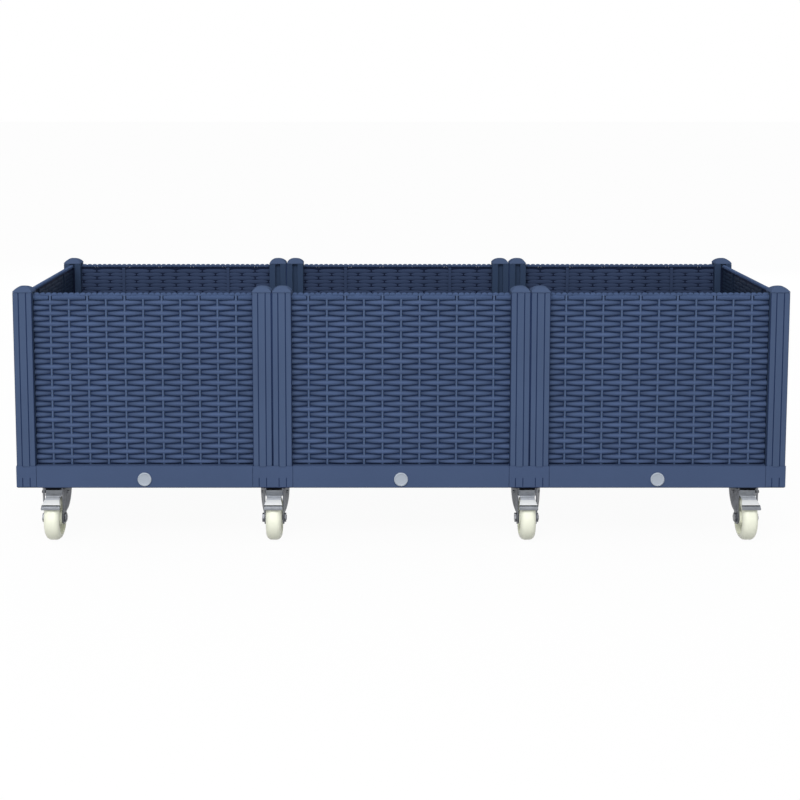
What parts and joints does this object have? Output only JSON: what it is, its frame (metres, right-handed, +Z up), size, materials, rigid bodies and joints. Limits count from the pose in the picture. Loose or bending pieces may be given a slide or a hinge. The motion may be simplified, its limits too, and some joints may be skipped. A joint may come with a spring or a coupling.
{
  "type": "rolling planter",
  "caption": "Long rolling planter of blue woven-look plastic panels between ribbed posts with domed caps, on steel swivel casters with brake pedals and cream wheels.",
  "frame": {"origin": "on the floor, at the middle of the planter's length and depth", "axes": "+X along the row of modules to the right, +Y from the front to the back, +Z up"},
  "size_m": [1.2, 0.4034, 0.409],
  "materials": {
    "woven_plastic": "satin",
    "post_plastic": "satin",
    "cap_plastic": "satin",
    "base_plastic": "satin",
    "plug_plastic": "smooth",
    "zinc_steel": "zinc plated, slightly uneven",
    "pedal_steel": "zinc plated, smooth",
    "wheel_plastic": "smooth"
  },
  "bodies": {
    "planter_box": {"base_tray_left": "base_plastic", "base_tray_centre": "base_plastic", "base_tray_right": "base_plastic", "corner_sockets": "base_plastic", "joint_sockets": "base_plastic", "front_panel_left": "woven_plastic", "front_panel_centre": "woven_plastic", "front_panel_right": "woven_plastic", "rear_panel_left": "woven_plastic", "rear_panel_centre": "woven_plastic", "rear_panel_right": "woven_plastic", "end_panel_left": "woven_plastic", "end_panel_right": "woven_plastic", "front_left_post": "post_plastic", "front_right_post": "post_plastic", "rear_left_post": "post_plastic", "rear_right_post": "post_plastic", "front_joint_posts": "post_plastic", "rear_joint_posts": "post_plastic", "front_post_caps": "cap_plastic", "rear_post_caps": "cap_plastic", "caster_plates": "zinc_steel", "kingpins": "zinc_steel", "swivel_balls": "zinc_steel", "plate_screws": "zinc_steel"},
    "plug_left": {"drain_plug_left": "plug_plastic"},
    "plug_centre": {"drain_plug_centre": "plug_plastic"},
    "plug_right": {"drain_plug_right": "plug_plastic"},
    "swivel_front_far_left": {"fork_front_far_left": "zinc_steel", "axle_front_far_left": "zinc_steel"},
    "wheel_body_front_far_left": {"wheel_front_far_left": "wheel_plastic"},
    "brake_front_far_left": {"pedal_front_far_left": "pedal_steel"},
    "swivel_front_mid_left": {"fork_front_mid_left": "zinc_steel", "axle_front_mid_left": "zinc_steel"},
    "wheel_body_front_mid_left": {"wheel_front_mid_left": "wheel_plastic"},
    "brake_front_mid_left": {"pedal_front_mid_left": "pedal_steel"},
    "swivel_front_mid_right": {"fork_front_mid_right": "zinc_steel", "axle_front_mid_right": "zinc_steel"},
    "wheel_body_front_mid_right": {"wheel_front_mid_right": "wheel_plastic"},
    "brake_front_mid_right": {"pedal_front_mid_right": "pedal_steel"},
    "swivel_front_far_right": {"fork_front_far_right": "zinc_steel", "axle_front_far_right": "zinc_steel"},
    "wheel_body_front_far_right": {"wheel_front_far_right": "wheel_plastic"},
    "brake_front_far_right": {"pedal_front_far_right": "pedal_steel"},
    "swivel_rear_far_left": {"fork_rear_far_left": "zinc_steel", "axle_rear_far_left": "zinc_steel"},
    "wheel_body_rear_far_left": {"wheel_rear_far_left": "wheel_plastic"},
    "brake_rear_far_left": {"pedal_rear_far_left": "pedal_steel"},
    "swivel_rear_mid_left": {"fork_rear_mid_left": "zinc_steel", "axle_rear_mid_left": "zinc_steel"},
    "wheel_body_rear_mid_left": {"wheel_rear_mid_left": "wheel_plastic"},
    "brake_rear_mid_left": {"pedal_rear_mid_left": "pedal_steel"},
    "swivel_rear_mid_right": {"fork_rear_mid_right": "zinc_steel", "axle_rear_mid_right": "zinc_steel"},
    "wheel_body_rear_mid_right": {"wheel_rear_mid_right": "wheel_plastic"},
    "brake_rear_mid_right": {"pedal_rear_mid_right": "pedal_steel"},
    "swivel_rear_far_right": {"fork_rear_far_right": "zinc_steel", "axle_rear_far_right": "zinc_steel"},
    "wheel_body_rear_far_right": {"wheel_rear_far_right": "wheel_plastic"},
    "brake_rear_far_right": {"pedal_rear_far_right": "pedal_steel"}
  },
  "joints": [
    {"name": "swivel_turn_front_far_left", "type": "hinge", "parent": "planter_box", "child": "swivel_front_far_left", "pos_m": [-0.5485, -0.146, 0.0835], "axis": [0, 0, 1], "continuous": true},
    {"name": "wheel_spin_front_far_left", "type": "hinge", "parent": "swivel_front_far_left", "child": "wheel_body_front_far_left", "pos_m": [-0.5485, -0.166, 0.035], "axis": [1, 0, 0], "continuous": true},
    {"name": "brake_press_front_far_left", "type": "hinge", "parent": "swivel_front_far_left", "child": "brake_front_far_left", "pos_m": [-0.5485, -0.16001, 0.07505], "axis": [1, 0, 0], "range_deg": [0, 4.5]},
    {"name": "swivel_turn_front_mid_left", "type": "hinge", "parent": "planter_box", "child": "swivel_front_mid_left", "pos_m": [-0.2, -0.146, 0.0835], "axis": [0, 0, 1], "continuous": true},
    {"name": "wheel_spin_front_mid_left", "type": "hinge", "parent": "swivel_front_mid_left", "child": "wheel_body_front_mid_left", "pos_m": [-0.2, -0.166, 0.035], "axis": [1, 0, 0], "continuous": true},
    {"name": "brake_press_front_mid_left", "type": "hinge", "parent": "swivel_front_mid_left", "child": "brake_front_mid_left", "pos_m": [-0.2, -0.16001, 0.07505], "axis": [1, 0, 0], "range_deg": [0, 4.5]},
    {"name": "swivel_turn_front_mid_right", "type": "hinge", "parent": "planter_box", "child": "swivel_front_mid_right", "pos_m": [0.2, -0.146, 0.0835], "axis": [0, 0, 1], "continuous": true},
    {"name": "wheel_spin_front_mid_right", "type": "hinge", "parent": "swivel_front_mid_right", "child": "wheel_body_front_mid_right", "pos_m": [0.2, -0.166, 0.035], "axis": [1, 0, 0], "continuous": true},
    {"name": "brake_press_front_mid_right", "type": "hinge", "parent": "swivel_front_mid_right", "child": "brake_front_mid_right", "pos_m": [0.2, -0.16001, 0.07505], "axis": [1, 0, 0], "range_deg": [0, 4.5]},
    {"name": "swivel_turn_front_far_right", "type": "hinge", "parent": "planter_box", "child": "swivel_front_far_right", "pos_m": [0.5485, -0.146, 0.0835], "axis": [0, 0, 1], "continuous": true},
    {"name": "wheel_spin_front_far_right", "type": "hinge", "parent": "swivel_front_far_right", "child": "wheel_body_front_far_right", "pos_m": [0.5485, -0.166, 0.035], "axis": [1, 0, 0], "continuous": true},
    {"name": "brake_press_front_far_right", "type": "hinge", "parent": "swivel_front_far_right", "child": "brake_front_far_right", "pos_m": [0.5485, -0.16001, 0.07505], "axis": [1, 0, 0], "range_deg": [0, 4.5]},
    {"name": "swivel_turn_rear_far_left", "type": "hinge", "parent": "planter_box", "child": "swivel_rear_far_left", "pos_m": [-0.5485, 0.146, 0.0835], "axis": [0, 0, 1], "continuous": true},
    {"name": "wheel_spin_rear_far_left", "type": "hinge", "parent": "swivel_rear_far_left", "child": "wheel_body_rear_far_left", "pos_m": [-0.5485, 0.166, 0.035], "axis": [1, 0, 0], "continuous": true},
    {"name": "brake_press_rear_far_left", "type": "hinge", "parent": "swivel_rear_far_left", "child": "brake_rear_far_left", "pos_m": [-0.5485, 0.16001, 0.07505], "axis": [-1, 0, 0], "range_deg": [0, 4.5]},
    {"name": "swivel_turn_rear_mid_left", "type": "hinge", "parent": "planter_box", "child": "swivel_rear_mid_left", "pos_m": [-0.2, 0.146, 0.0835], "axis": [0, 0, 1], "continuous": true},
    {"name": "wheel_spin_rear_mid_left", "type": "hinge", "parent": "swivel_rear_mid_left", "child": "wheel_body_rear_mid_left", "pos_m": [-0.2, 0.166, 0.035], "axis": [1, 0, 0], "continuous": true},
    {"name": "brake_press_rear_mid_left", "type": "hinge", "parent": "swivel_rear_mid_left", "child": "brake_rear_mid_left", "pos_m": [-0.2, 0.16001, 0.07505], "axis": [-1, 0, 0], "range_deg": [0, 4.5]},
    {"name": "swivel_turn_rear_mid_right", "type": "hinge", "parent": "planter_box", "child": "swivel_rear_mid_right", "pos_m": [0.2, 0.146, 0.0835], "axis": [0, 0, 1], "continuous": true},
    {"name": "wheel_spin_rear_mid_right", "type": "hinge", "parent": "swivel_rear_mid_right", "child": "wheel_body_rear_mid_right", "pos_m": [0.2, 0.166, 0.035], "axis": [1, 0, 0], "continuous": true},
    {"name": "brake_press_rear_mid_right", "type": "hinge", "parent": "swivel_rear_mid_right", "child": "brake_rear_mid_right", "pos_m": [0.2, 0.16001, 0.07505], "axis": [-1, 0, 0], "range_deg": [0, 4.5]},
    {"name": "swivel_turn_rear_far_right", "type": "hinge", "parent": "planter_box", "child": "swivel_rear_far_right", "pos_m": [0.5485, 0.146, 0.0835], "axis": [0, 0, 1], "continuous": true},
    {"name": "wheel_spin_rear_far_right", "type": "hinge", "parent": "swivel_rear_far_right", "child": "wheel_body_rear_far_right", "pos_m": [0.5485, 0.166, 0.035], "axis": [1, 0, 0], "continuous": true},
    {"name": "brake_press_rear_far_right", "type": "hinge", "parent": "swivel_rear_far_right", "child": "brake_rear_far_right", "pos_m": [0.5485, 0.16001, 0.07505], "axis": [-1, 0, 0], "range_deg": [0, 4.5]},
    {"name": "plug_left_pull", "type": "slide", "parent": "planter_box", "child": "plug_left", "axis": [0, -1, 0], "range_m": [0, 0.015]},
    {"name": "plug_centre_pull", "type": "slide", "parent": "planter_box", "child": "plug_centre", "axis": [0, -1, 0], "range_m": [0, 0.015]},
    {"name": "plug_right_pull", "type": "slide", "parent": "planter_box", "child": "plug_right", "axis": [0, -1, 0], "range_m": [0, 0.015]}
  ]
}
